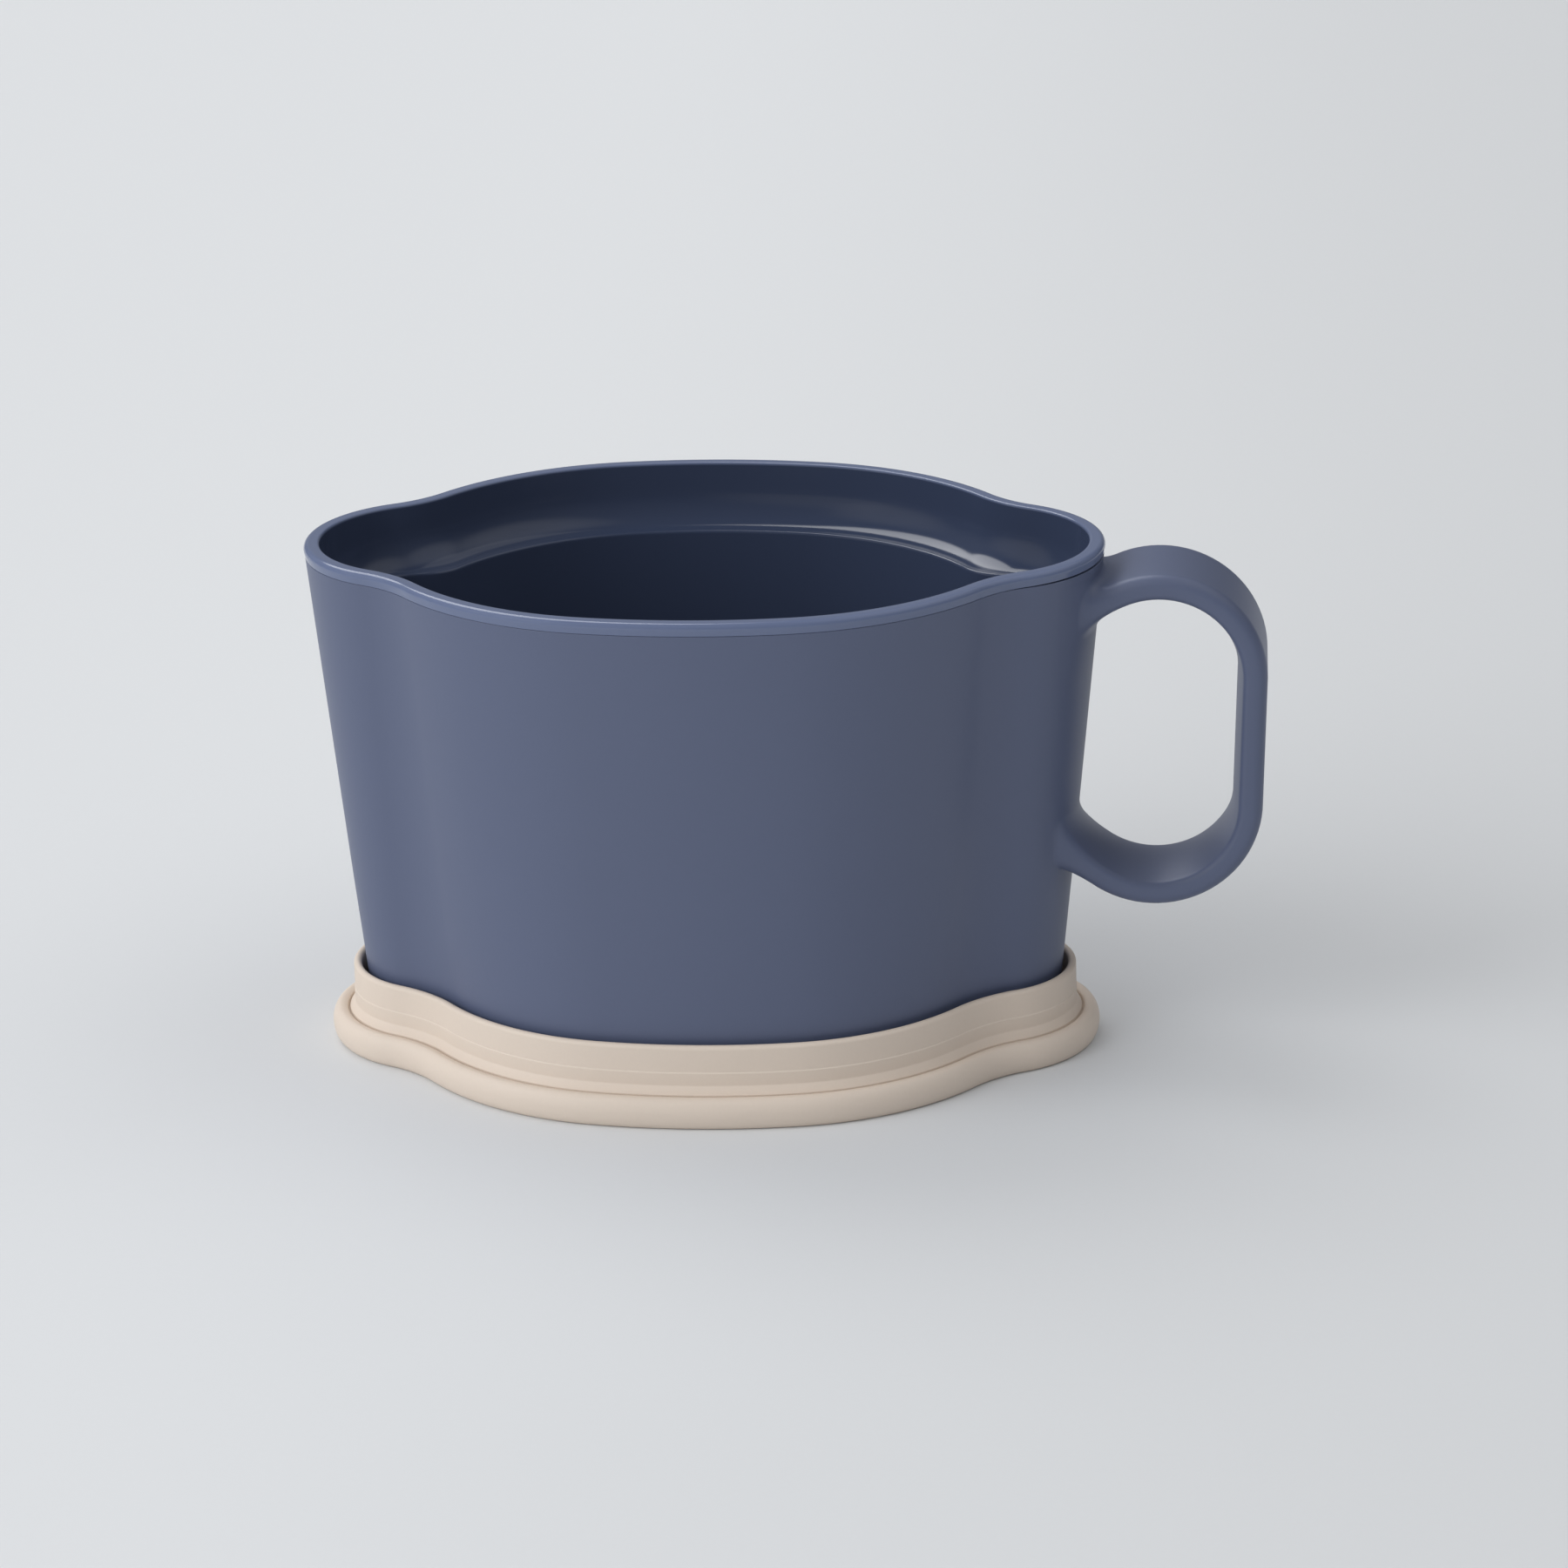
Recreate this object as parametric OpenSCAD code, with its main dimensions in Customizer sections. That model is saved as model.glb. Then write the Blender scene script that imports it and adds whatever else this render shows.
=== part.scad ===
// Two-wall soup mug standing in its own lid, which is turned over as a stand.
// The origin is on the table under the middle of the mug, +X points to the handle.

/* [Plan outline] */
// Half of the rim's length, without the handle
half_length = 70; // [58:0.5:84]
// Half of the rim's width
half_width = 47.6; // [42:0.1:54]
// Radius of the two narrow ends
end_radius = 22.8; // [20:0.1:26]
// Radius of the hollow between shoulder and end
waist_radius = 22; // [14:0.5:32]
// Radius of the shoulders at both sides of the belly
shoulder_radius = 50; // [44:0.5:56]
// Radius of the flatter belly at the middle of the front and back
belly_radius = 105; // [80:1:140]
// How far the belly turns to each side before a shoulder begins
belly_turn = 10; // [6:0.5:14]

/* [Outer shell] */
// Height of the mug from its foot to its rim
mug_height = 90.3; // [75:0.1:110]
// How far the outer wall leans in for each millimetre down from the rim
draft = 0.097; // [0.05:0.001:0.12]
// Thickness of the shell's wall and floor
shell_wall = 1.4; // [1:0.1:2]
// Width of the flat ring that the mug stands on
foot_ring = 3.5; // [2:0.1:6]
// Depth of the recess inside the foot ring
foot_recess = 0.8; // [0.4:0.1:1.5]
// Radius between the outer wall and the foot
foot_round = 1.6; // [0.8:0.1:3]

/* [Liner] */
// Thickness of the liner
liner_wall = 1.3; // [1:0.1:1.8]
// Height of the lip that covers the shell's top edge
lip_height = 2.2; // [1.5:0.1:4]
// Radius along the outside of the lip
lip_round = 1; // [0.5:0.1:1.2]
// Radius along the inside of the lip
lip_inner_round = 0.5; // [0.3:0.1:0.8]
// Hairline joint between lip and shell, and between the two walls
joint_gap = 0.12; // [0.08:0.01:0.2]
// Depth of the ledge's edge below the rim
ledge_depth = 11; // [9:0.1:14]
// Height of the cove in which the upper wall runs out into the ledge
cove_height = 6; // [4:0.1:7]
// Radius along the ledge's edge
ledge_round = 0.5; // [0.3:0.1:0.8]
// Width of the ledge at the narrow ends
ledge_end = 3; // [2.5:0.1:5]
// Width of the ledge at the sides
ledge_side = 4.9; // [3.5:0.1:6]
// Radius of the well's narrow ends
well_end_radius = 13.6; // [12:0.1:16]
// Radius of the hollow between the well's shoulder and end
well_waist_radius = 9; // [6:0.5:14]
// Radius of the well's shoulders
well_shoulder_radius = 44.5; // [40:0.5:50]
// Radius of the well's belly
well_belly_radius = 86; // [70:1:110]
// How far the well's wall leans in for each millimetre down
well_draft = 0.075; // [0.06:0.005:0.1]
// Radius between the well's wall and its floor
well_floor_round = 5; // [3:0.5:7]
// Air gap between the two floors
floor_gap = 3; // [2:0.1:6]

/* [Handle] */
// Thickness of the strap
strap_thickness = 4.4; // [3.5:0.1:6]
// Width of the strap from front to back
strap_width = 17.6; // [13:0.1:21]
// Radius along the strap's four edges
strap_round = 1.6; // [1:0.1:1.7]
// Radius of the loop at the middle of the strap
loop_radius = 16.6; // [14:0.1:20]
// How far the loop's middle lies beyond the rim's end
loop_reach = 9.4; // [7:0.1:12]
// Depth of the upper bend's centre below the rim
loop_drop = 22.6; // [20:0.1:27]
// Length of the straight grip between the two bends
grip_length = 23; // [18:0.1:28]
// How far the lower bend lies nearer to the body than the upper one
grip_lean = 0.7; // [0:0.1:2]
// How much the strap widens on each side where it leaves the shell under the rim
root_flare = 2.2; // [1:0.1:3]
// Length over which the strap widens
root_length = 9; // [5:0.5:10]

/* [Lid] */
// Thickness of the lid's plate
plate = 2.2; // [1.5:0.1:3]
// Height of the plug skirt's edge above the table
skirt_top = 14.2; // [11:0.1:18]
// Thickness of the skirt
skirt_wall = 1.6; // [1.2:0.1:2.2]
// Room between the skirt's edge and the mug that stands in it
seat_gap = 0.7; // [0.4:0.1:1.5]
// Radius between the plate and the skirt's inside
seat_round = 2.2; // [1:0.1:3]
// Height of the small step at the skirt's foot
step_height = 1; // [0.6:0.1:1.5]
// Width of the small step at the skirt's foot
step_width = 0.9; // [0.5:0.1:1.2]
// Height of the rolled edge
roll_height = 5.6; // [4.5:0.1:7]
// Height of the rolled edge's widest line
roll_middle = 2.9; // [2:0.1:3.5]
// How far the rolled edge's widest line lies inside the rim's outline
roll_inset = 1.25; // [0.5:0.05:2]
// How far the rolled edge's underside draws in below its widest line
roll_tuck = 1.4; // [0.8:0.1:2]
// Depth of the groove between the rolled edge and the step
groove_depth = 0.6; // [0.3:0.1:1]

/* [Hidden] */

// Steps along each arc of an outline and of a profile
END_STEPS = 14;
WAIST_STEPS = 4;
SHOULDER_STEPS = 8;
BELLY_STEPS = 6;
ROUND_STEPS = 4;
EDGE_STEPS = 8;
ROLL_STEPS = 6;
BEND_STEPS = 18;
CORNER_STEPS = 4;
// How far a cut runs past what it cuts
OVERCUT = 1;

// Heights above the table
foot_z = plate;
rim_z = foot_z + mug_height;
lip_z = rim_z - lip_height;
shell_top_z = lip_z - joint_gap;
ledge_z = rim_z - ledge_depth;
shell_floor_z = foot_z + foot_recess + shell_wall;
liner_under_z = shell_floor_z + floor_gap;
well_floor_z = liner_under_z + liner_wall;

// An outline is [half length, half width, end radius, waist radius, shoulder radius, belly radius]
RIM = [half_length, half_width, end_radius, waist_radius, shoulder_radius, belly_radius];
// How far the liner's outer and inner faces lie inside the shell's outer wall
spigot = shell_wall + joint_gap;
inside = spigot + liner_wall;
well_length = half_length + wall(ledge_z) - inside - ledge_end;
well_width = half_width + wall(ledge_z) - inside - ledge_side;
WELL = [well_length, well_width, well_end_radius,
        well_waist_radius, well_shoulder_radius, well_belly_radius];

// Where two circles cross, on the right of the way from p to c
function crossing(p, p_r, c, c_r) =
    let (way = c - p,
         far = norm(way),
         along = (p_r * p_r - c_r * c_r + far * far) / (2 * far),
         side = sqrt(p_r * p_r - along * along),
         unit = way / far)
    p + along * unit + side * [unit.y, -unit.x];

// Points along an arc, without its last one
function arc(centre, radius, from, to, steps) =
    [for (i = [0 : steps - 1])
        let (turn = from + (to - from) * i / steps)
        centre + radius * [cos(turn), sin(turn)]];

// Points along an arc's three mirror images, in the same round as the arc, without their last ones
function mirrored(centre, radius, from, to, steps) =
    [arc([-centre.x, centre.y], radius, 180 - to, 180 - from, steps),
     arc(-centre, radius, 180 + from, 180 + to, steps),
     arc([centre.x, -centre.y], radius, -to, -from, steps)];

// Twelve tangent arcs, all moved outwards by the same amount
function outline(o, out) =
    let (end = [o[0] - o[2], 0],
         back = [0, o[1] - o[5]],
         side = back + (o[5] - o[4]) * [sin(belly_turn), cos(belly_turn)],
         waist = crossing(end, o[2] + o[3], side, o[4] + o[3]),
         e = atan2(waist.y, waist.x - end.x),
         s = atan2(waist.y - side.y, waist.x - side.x),
         b = 90 - belly_turn,
         end_r = o[2] + out,
         waist_r = o[3] - out,
         side_r = o[4] + out,
         belly_r = o[5] + out,
         waists = mirrored(waist, waist_r, 180 + e, 180 + s, WAIST_STEPS),
         sides = mirrored(side, side_r, s, b, SHOULDER_STEPS))
    concat(arc(end, end_r, -e, e, END_STEPS),
           arc(waist, waist_r, 180 + e, 180 + s, WAIST_STEPS),
           arc(side, side_r, s, b, SHOULDER_STEPS),
           arc(back, belly_r, b, 180 - b, BELLY_STEPS),
           sides[0], waists[0],
           arc(-end, end_r, 180 - e, 180 + e, END_STEPS),
           waists[1], sides[1],
           arc(-back, belly_r, 180 + b, 360 - b, BELLY_STEPS),
           sides[2], waists[2]);

// Rings of an outline at the [out, height] points of a profile
function rings(o, profile) = [for (s = profile) [for (p = outline(o, s[0])) [p.x, p.y, s[1]]]];

// Rings that leave an upper one straight down and reach a lower one level
function cove(upper, lower) =
    [for (i = [0 : EDGE_STEPS])
        let (turn = 90 * i / EDGE_STEPS, across = 1 - cos(turn), down = sin(turn))
        [for (k = [0 : len(upper) - 1])
            let (way = lower[k] - upper[k])
            upper[k] + [across * way.x, across * way.y, down * way.z]]];

// Profile points along a quarter of an ellipse, both ends included
function curve(centre, wide, high, from, to, steps = ROUND_STEPS) =
    [for (i = [0 : steps])
        let (turn = from + (to - from) * i / steps)
        centre + [wide * cos(turn), high * sin(turn)]];

// Where the shell's outer wall lies at a height, measured from the rim's outline
function wall(z) = -draft * (rim_z - z);

// Solid skin over a stack of rings, closed by a flat face at each end
module loft(stack) {
    n = len(stack[0]);
    last = len(stack) - 1;
    sides = [for (k = [0 : last - 1], i = [0 : n - 1])
        let (a = k * n + i, b = k * n + (i + 1) % n)
        each [[a, a + n, b + n], [a, b + n, b]]];
    first_face = [for (i = [0 : n - 1]) i];
    last_face = [for (i = [n - 1 : -1 : 0]) last * n + i];
    polyhedron([for (r = stack) each r], concat([first_face], sides, [last_face]));
}

// Outside of the shell as a full body, with the recess in its foot
module shell_body() {
    ring_out = wall(foot_z) - foot_round;
    loft(rings(RIM, concat(
        [[ring_out - foot_ring - foot_recess, foot_z + foot_recess], [ring_out - foot_ring, foot_z]],
        curve([ring_out, foot_z + foot_round], foot_round, foot_round, -90, 0),
        [[wall(shell_top_z), shell_top_z]])));
}

// Space inside the shell, open at the top
module shell_space() {
    inner = wall(shell_floor_z) - shell_wall;
    above = shell_top_z + OVERCUT;
    loft(rings(RIM, concat(
        curve([inner - foot_round, shell_floor_z + foot_round], foot_round, foot_round, -90, 0),
        [[wall(above) - shell_wall, above]])));
}

// Angles on the upper and lower bends where the strap meets the shell's wall
top_x = half_length + loop_reach;
top_z = rim_z - loop_drop;
low_x = top_x - grip_lean;
low_z = top_z - grip_length;
lean = atan(draft);
loop_slope = loop_radius * sqrt(1 + draft * draft);
top_root = acos((half_length + wall(top_z) - top_x) / loop_slope) - lean;
low_root = acos((half_length + wall(low_z) - low_x) / loop_slope) + lean;
// How far the strap runs straight on into the shell before its space is cut out
root_run = end_radius;

// How much wider the strap is on each side at a distance from its upper root
function flare(distance) =
    let (left = max(0, 1 - distance / root_length))
    root_flare * left * left;

// Cross-section of the strap: [outwards, sideways] points of a rounded bar
function strap_section(wider) =
    let (r = strap_round,
         thick = strap_thickness / 2 - r,
         side = strap_width / 2 + wider - r)
    [for (c = [[thick, side, 0], [-thick, side, 90], [-thick, -side, 180], [thick, -side, 270]],
          i = [0 : CORNER_STEPS])
        let (turn = c[2] + 90 * i / CORNER_STEPS)
        [c[0] + r * cos(turn), c[1] + r * sin(turn)]];

// One ring of the strap, square to its path at a turn about a bend's centre
function strap_ring(x, z, turn, wider = 0) =
    [for (p = strap_section(wider))
        [x + (loop_radius + p[0]) * cos(turn), -p[1], z + (loop_radius + p[0]) * sin(turn)]];

// Strap handle, from inside the shell over the grip and back into the shell
module strap() {
    per_degree = PI * loop_radius / 180;
    upper = [for (i = [0 : BEND_STEPS])
        let (turn = top_root * (1 - i / BEND_STEPS))
        strap_ring(top_x, top_z, turn, flare((top_root - turn) * per_degree))];
    lower = [for (i = [0 : BEND_STEPS])
        strap_ring(low_x, low_z, -low_root * i / BEND_STEPS)];
    top_run = root_run * [sin(top_root), cos(top_root)];
    low_run = root_run * [sin(low_root), cos(low_root)];
    first = strap_ring(top_x - top_run.x, top_z + top_run.y, top_root, root_flare);
    last = strap_ring(low_x - low_run.x, low_z - low_run.y, -low_root);
    loft(concat([first], upper, lower, [last]));
}

module outer_shell() {
    color([0.33, 0.36, 0.45])
        difference() {
            union() {
                shell_body();
                strap();
            }
            shell_space();
        }
}

module liner() {
    cove_z = ledge_z + cove_height;
    under_z = ledge_z - liner_wall;
    well_top = ledge_z - ledge_round;
    function lean_in(z) = -well_draft * (well_top - z);
    floor_in = lean_in(well_floor_z + well_floor_round) - well_floor_round;
    outer_round = well_floor_round + liner_wall;
    inner_cove = cove(rings(RIM, [[wall(cove_z) - inside, cove_z]])[0],
                      rings(WELL, [[ledge_round, ledge_z]])[0]);
    outer_cove = cove(rings(RIM, [[wall(cove_z) - spigot, cove_z]])[0],
                      rings(WELL, [[liner_wall, under_z]])[0]);
    color([0.27, 0.3, 0.39])
        loft(concat(
            rings(WELL, curve([floor_in, liner_under_z + outer_round], outer_round, outer_round, -90, 0)),
            [for (i = [EDGE_STEPS : -1 : 0]) outer_cove[i]],
            rings(RIM, [[wall(lip_z) - spigot, lip_z], [wall(lip_z), lip_z]]),
            rings(RIM, curve([-lip_round, rim_z - lip_round], lip_round, lip_round, 0, 90)),
            rings(RIM, curve([lip_inner_round - inside, rim_z - lip_inner_round],
                             lip_inner_round, lip_inner_round, 90, 180)),
            inner_cove,
            rings(WELL, curve([ledge_round, well_top], ledge_round, ledge_round,
                              90 + 90 / ROUND_STEPS, 180, ROUND_STEPS - 1)),
            rings(WELL, curve([floor_in, well_floor_z + well_floor_round],
                              well_floor_round, well_floor_round, 0, -90))));
}

module lid() {
    skirt_in = wall(skirt_top) + seat_gap;
    skirt_out = skirt_in + skirt_wall;
    edge = skirt_wall / 2;
    step_out = skirt_out + step_width;
    roll_in = (step_out - roll_inset) / 2;
    color([0.84, 0.78, 0.7])
        loft(rings(RIM, concat(
            curve([-roll_inset - roll_tuck, roll_middle], roll_tuck, roll_middle, -90, 0, ROLL_STEPS),
            curve([roll_in, roll_middle], -roll_inset - roll_in, roll_height - roll_middle,
                  90 / ROLL_STEPS, 90, ROLL_STEPS - 1),
            [[step_out, roll_height - groove_depth],
             [step_out, roll_height],
             [skirt_out, roll_height + step_height]],
            curve([skirt_out - edge, skirt_top - edge], edge, edge, 0, 180, EDGE_STEPS),
            curve([skirt_in - seat_round, plate + seat_round], seat_round, seat_round, 0, -90))));
}

outer_shell();
liner();
lid();
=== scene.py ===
"""Soup mug that stands in its own lid, which is turned over as a stand.

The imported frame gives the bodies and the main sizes. Each of its three solids is
replaced by a smooth one with rounded edges, swept round the same lobed outline.
Sizes in the classes are in millimetres, and the finished meshes are in metres.
"""

import logging
import math
from dataclasses import dataclass
from enum import Enum
from typing import Any, Callable, ClassVar, Iterable, Optional, Sequence, Union

import bmesh
import bpy
from bmesh.types import BMesh, BMEdge, BMFace, BMVert
from mathutils import Matrix, Vector
from mathutils.geometry import interpolate_bezier
from mathutils.kdtree import KDTree


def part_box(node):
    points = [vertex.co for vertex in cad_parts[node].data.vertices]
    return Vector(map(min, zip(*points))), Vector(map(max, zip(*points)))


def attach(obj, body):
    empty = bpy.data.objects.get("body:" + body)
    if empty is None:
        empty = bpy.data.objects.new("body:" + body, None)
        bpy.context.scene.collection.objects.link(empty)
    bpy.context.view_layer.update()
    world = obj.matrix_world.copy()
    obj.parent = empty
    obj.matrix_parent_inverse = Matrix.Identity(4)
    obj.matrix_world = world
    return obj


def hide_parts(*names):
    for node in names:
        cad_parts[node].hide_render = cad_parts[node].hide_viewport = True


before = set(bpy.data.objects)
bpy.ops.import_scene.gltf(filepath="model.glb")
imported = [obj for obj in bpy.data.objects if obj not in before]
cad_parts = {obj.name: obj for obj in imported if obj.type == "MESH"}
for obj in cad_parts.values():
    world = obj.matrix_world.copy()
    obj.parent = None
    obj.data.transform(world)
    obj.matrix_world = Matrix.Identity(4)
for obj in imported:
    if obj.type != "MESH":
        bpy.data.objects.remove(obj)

LOG = logging.getLogger("soup_mug")
MM = 0.001
# Points closer than this, in millimetres, are one point
MERGE = 0.002
Z_AXIS = (0.0, 0.0, 1.0)
Y_AXIS = (0.0, 1.0, 0.0)
QUARTER = math.pi / 2
# Handles of this share draw a quarter of a circle
ROUND = 0.5523
# Mesh attribute that says how far inside the mouth a point lies, which is where the liner's painted shade
# falls
PAINTED_SHADE_MASK = "shade_mask"


class Body(Enum):
    """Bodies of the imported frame."""

    STAND = "stand"
    MUG = "mug"


class Node(Enum):
    """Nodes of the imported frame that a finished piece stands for."""

    SHELL = "outer_shell"
    LINER = "liner"
    LID = "lid"


class Slot(Enum):
    """Names of the material slots that each piece keeps."""

    SHELL = "shell"
    LINER = "liner"
    LID = "lid"


def linear(colour: Sequence[int]) -> tuple[float, float, float, float]:
    """Turn a colour as a screen shows it into the renderer's own values.

    Args:
        colour: Red, green and blue from 0 to 255.

    Returns:
        Linear red, green, blue and a full alpha.
    """
    parts = [c / 255 for c in colour]
    values = [p / 12.92 if p <= 0.04045 else ((p + 0.055) / 1.055) ** 2.4 for p in parts]
    return values[0], values[1], values[2], 1.0


class Signal:
    """A shader socket with arithmetic: an expression on it adds Math nodes."""

    def __init__(self, graph: "Graph", socket: bpy.types.NodeSocket) -> None:
        """Wrap one output socket of a graph."""
        self.graph = graph
        self.socket = socket

    def __add__(self, other: "Value") -> "Signal":
        """Add two values."""
        return self.graph.math("ADD", self, other)

    def __radd__(self, other: "Value") -> "Signal":
        """Add two values, with the number first."""
        return self.graph.math("ADD", other, self)

    def __sub__(self, other: "Value") -> "Signal":
        """Take a value away."""
        return self.graph.math("SUBTRACT", self, other)

    def __rsub__(self, other: "Value") -> "Signal":
        """Take this value away from a number."""
        return self.graph.math("SUBTRACT", other, self)

    def __mul__(self, other: "Value") -> "Signal":
        """Multiply two values."""
        return self.graph.math("MULTIPLY", self, other)

    def __rmul__(self, other: "Value") -> "Signal":
        """Multiply two values, with the number first."""
        return self.graph.math("MULTIPLY", other, self)


Value = Union[Signal, float, tuple]


class Graph:
    """A material's node tree, built from expressions."""

    def __init__(self, tree: bpy.types.NodeTree) -> None:
        """Start on a tree whose old nodes are dropped."""
        self.tree = tree
        tree.nodes.clear()

    def node(self, kind: str, settings: Optional[dict[str, Any]] = None,
             inputs: Optional[dict[Union[str, int], Value]] = None, out: Union[str, int] = 0) -> Signal:
        """Add a node.

        Args:
            kind: The node's type.
            settings: Properties, set before the sockets.
            inputs: Values or links of its sockets, by name or place.
            out: The output that is handed on, by name or place.

        Returns:
            The chosen output.
        """
        made = self.tree.nodes.new(kind)
        for name, value in (settings or {}).items():
            setattr(made, name, value)
        for name, value in (inputs or {}).items():
            socket = made.inputs[name]
            if isinstance(value, Signal):
                self.tree.links.new(value.socket, socket)
            else:
                socket.default_value = value
        return Signal(self, made.outputs[out] if made.outputs else None)

    def math(self, operation: str, a: Value, b: Value) -> Signal:
        """Add a Math node on two values."""
        return self.node("ShaderNodeMath", {"operation": operation}, {0: a, 1: b})

    def blend(self, factor: Value, a: Value, b: Value) -> Signal:
        """Mix two colours by a factor."""
        return self.node("ShaderNodeMix", {"data_type": "RGBA"}, {0: factor, 6: a, 7: b}, out=2)

    def between(self, value: Signal, low: float, high: float,
                start: float = 0.0, end: float = 1.0) -> Signal:
        """Map a value smoothly from one range to another.

        Args:
            value: The value to map.
            low: Where the old range starts.
            high: Where the old range ends.
            start: The result at low.
            end: The result at high.

        Returns:
            The mapped value, held inside the new range.
        """
        return self.node("ShaderNodeMapRange", {"interpolation_type": "SMOOTHSTEP"},
                         {"Value": value, "From Min": low, "From Max": high,
                          "To Min": start, "To Max": end})

    def noise(self, place: Signal, size: float, detail: float = 2.0, rough: float = 0.5) -> Signal:
        """Soft noise.

        Args:
            place: Coordinates in metres.
            size: Width of its largest features in millimetres.
            detail: Number of finer layers.
            rough: Strength of the finer layers.

        Returns:
            A value about 0.5.
        """
        return self.node("ShaderNodeTexNoise", None,
                         {"Vector": place, "Scale": 1 / (size * MM), "Detail": detail, "Roughness": rough})

    def stretched(self, place: Signal, scale: Sequence[float], turn: Sequence[float] = (0, 0, 0)) -> Signal:
        """Coordinates stretched along their axes, after a turn."""
        return self.node("ShaderNodeMapping", None,
                         {"Vector": place, "Scale": tuple(scale), "Rotation": tuple(turn)})


@dataclass(frozen=True)
class MouldedPlastic:
    """Through-coloured plastic as it leaves the mould.

    Attributes:
        name: Name of the material.
        colour: Its colour, red, green and blue from 0 to 255.
        cloud: How much slow clouds of pigment lighten and darken it.
        cloud_size: Width of the clouds in millimetres.
        pigment: How much the fine pigment grain lightens and darkens it.
        roughness: Roughness of the polished or sanded mould face.
        roughness_spread: How far the roughness wanders.
        grain_size: Width of the mould face's grain in millimetres.
        grain_depth: Depth of that grain in millimetres.
        wave_size: Width of the slow waves of a cooled wall in millimetres.
        wave_depth: Depth of those waves in millimetres.
        scuff: How much rougher fine rubbed streaks are.
        specular: Specular level.
        painted_shade_colour: Painted shade inside the mouth: a darker colour that stands in for the shade
            there, where one is given.
    """

    name: str
    colour: tuple[int, int, int]
    cloud: float
    cloud_size: float
    pigment: float
    roughness: float
    roughness_spread: float
    grain_size: float
    grain_depth: float
    wave_size: float
    wave_depth: float
    scuff: float
    specular: float = 0.5
    painted_shade_colour: Optional[tuple[int, int, int]] = None

    # Fine streaks come in patches, run one way and have these widths in millimetres
    STREAK_WIDTH: ClassVar[float] = 1.4
    PATCH_WIDTH: ClassVar[float] = 26.0
    STREAK_STRETCH: ClassVar[tuple[float, float, float]] = (1.0, 1.0, 0.06)
    STREAK_TURN: ClassVar[tuple[float, float, float]] = (0.35, 0.5, 0.0)

    @staticmethod
    def shaded(graph: Graph, shade: Signal, colour: Sequence[int]) -> Signal:
        """A colour from half to one and a half times as light.

        Args:
            graph: The material's node tree.
            shade: How light, from 0 to 1.
            colour: The colour at a shade of 0.5, from 0 to 255.

        Returns:
            The shaded colour.
        """
        base = linear(colour)
        dark = tuple(c * 0.5 for c in base[:3]) + (1.0,)
        light = tuple(c * 1.5 for c in base[:3]) + (1.0,)
        return graph.blend(shade, dark, light)

    def material(self) -> bpy.types.Material:
        """Make the node material.

        Returns:
            The material, ready for a mesh.
        """
        made = bpy.data.materials.new(self.name)
        made.use_nodes = True
        graph = Graph(made.node_tree)
        place = graph.node("ShaderNodeTexCoord", out="Object")
        clouds = graph.noise(place, self.cloud_size, 3.0)
        pigment = graph.noise(place, self.grain_size * 1.7, 2.0, 0.6)
        grain = graph.noise(place, self.grain_size, 3.0, 0.55)
        wave = graph.noise(place, self.wave_size, 1.0)
        along = graph.stretched(place, self.STREAK_STRETCH, self.STREAK_TURN)
        streaks = graph.noise(along, self.STREAK_WIDTH, 3.0, 0.6)
        patches = graph.between(graph.noise(place, self.PATCH_WIDTH, 2.0), 0.5, 0.72)
        rubbed = graph.between(streaks, 0.6, 0.72) * patches

        shade = (clouds - 0.5) * (2 * self.cloud) + (pigment - 0.5) * (2 * self.pigment) + 0.5
        colour = self.shaded(graph, shade, self.colour)
        # Painted shade: inside the mouth the colour blends into a darker one that stands in for the shade
        # there
        if self.painted_shade_colour:
            shade_mask = graph.node("ShaderNodeAttribute", {"attribute_name": PAINTED_SHADE_MASK}, out="Fac")
            colour = graph.blend(shade_mask, colour, self.shaded(graph, shade, self.painted_shade_colour))

        rough = self.roughness + (clouds - 0.5) * self.roughness_spread + rubbed * self.scuff
        fine = graph.node("ShaderNodeBump", None,
                          {"Strength": 1.0, "Distance": self.grain_depth * MM, "Height": grain})
        normal = graph.node("ShaderNodeBump", None,
                            {"Strength": 1.0, "Distance": self.wave_depth * MM,
                             "Height": wave, "Normal": fine})
        shader = graph.node("ShaderNodeBsdfPrincipled", None,
                            {"Base Color": colour, "Roughness": rough, "Normal": normal,
                             "Specular IOR Level": self.specular, "IOR": 1.49})
        graph.node("ShaderNodeOutputMaterial", None, {"Surface": shader})
        return made


SATIN_SHELL = MouldedPlastic(
    "satin_blue_shell", (87, 96, 122), cloud=0.02, cloud_size=45.0, pigment=0.015,
    roughness=0.44, roughness_spread=0.05, grain_size=0.35, grain_depth=0.006,
    wave_size=30.0, wave_depth=0.02, scuff=0.08)
# The liner's inside is painted darker than its lip, as painted shade of the mouth
GLOSS_LINER = MouldedPlastic(
    "gloss_blue_liner", (101, 112, 141), cloud=0.015, cloud_size=40.0, pigment=0.01,
    roughness=0.12, roughness_spread=0.03, grain_size=0.8, grain_depth=0.002,
    wave_size=24.0, wave_depth=0.02, scuff=0.06, painted_shade_colour=(54, 63, 85))
MATTE_LID = MouldedPlastic(
    "matte_beige_lid", (217, 203, 189), cloud=0.015, cloud_size=30.0, pigment=0.02,
    roughness=0.58, roughness_spread=0.06, grain_size=0.28, grain_depth=0.01,
    wave_size=22.0, wave_depth=0.02, scuff=0.08)


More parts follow.
